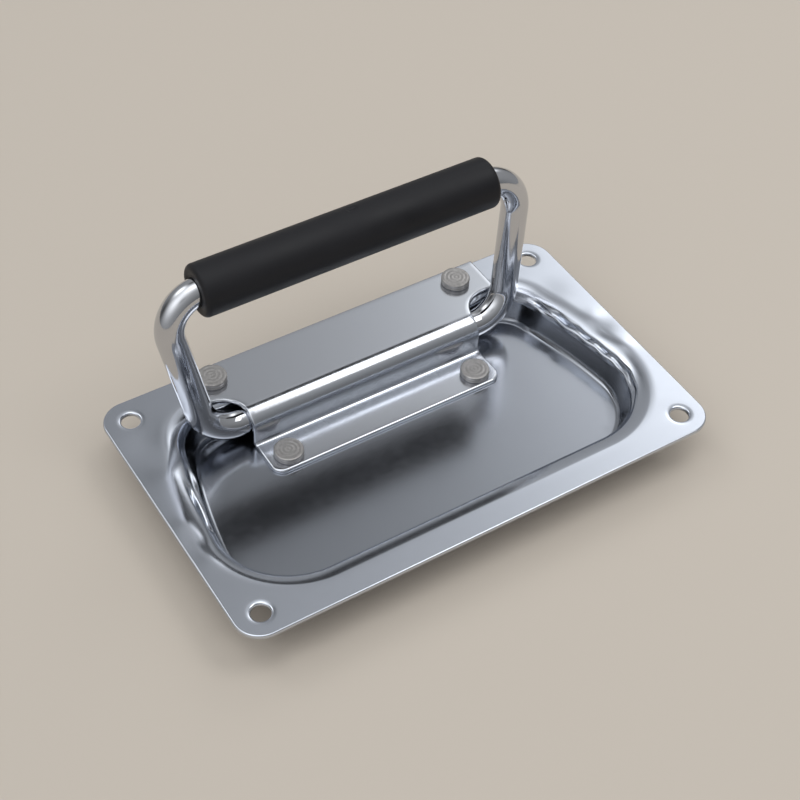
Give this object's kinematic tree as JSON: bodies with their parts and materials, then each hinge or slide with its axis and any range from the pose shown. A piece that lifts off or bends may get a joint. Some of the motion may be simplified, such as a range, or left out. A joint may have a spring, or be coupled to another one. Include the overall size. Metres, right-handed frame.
{
  "type": "flight case handle",
  "caption": "Recessed pull handle for a flight case: a drawn steel dish with a screw-down rim and a folding bent-rod bail with a rubber grip.",
  "frame": {"origin": "middle of the four screw holes on the underside of the rim, in the plane of the case's outer face", "axes": "+X along the handle, +Y towards the hinge side, +Z out of the case"},
  "size_m": [0.147, 0.088, 0.0613],
  "materials": {
    "dish_steel": "zinc-plated drawn sheet, satin mirror",
    "bracket_steel": "zinc-plated folded sheet, satin mirror",
    "rod_chrome": "polished bent rod",
    "grip_rubber": "black moulded rubber, satin",
    "rivet_steel": "dull pressed flat head"
  },
  "bodies": {
    "base": {"dish_plate": "dish_steel", "bracket": "bracket_steel", "rivet_rear_left": "rivet_steel", "rivet_rear_right": "rivet_steel", "rivet_front_left": "rivet_steel", "rivet_front_right": "rivet_steel"},
    "bail": {"bail": "rod_chrome", "grip": "grip_rubber"}
  },
  "joints": [
    {"name": "bail_hinge", "type": "hinge", "parent": "base", "child": "bail", "pos_m": [0, 0.0253, -0.0034], "axis": [1, 0, 0], "range_deg": [0, 98]}
  ]
}
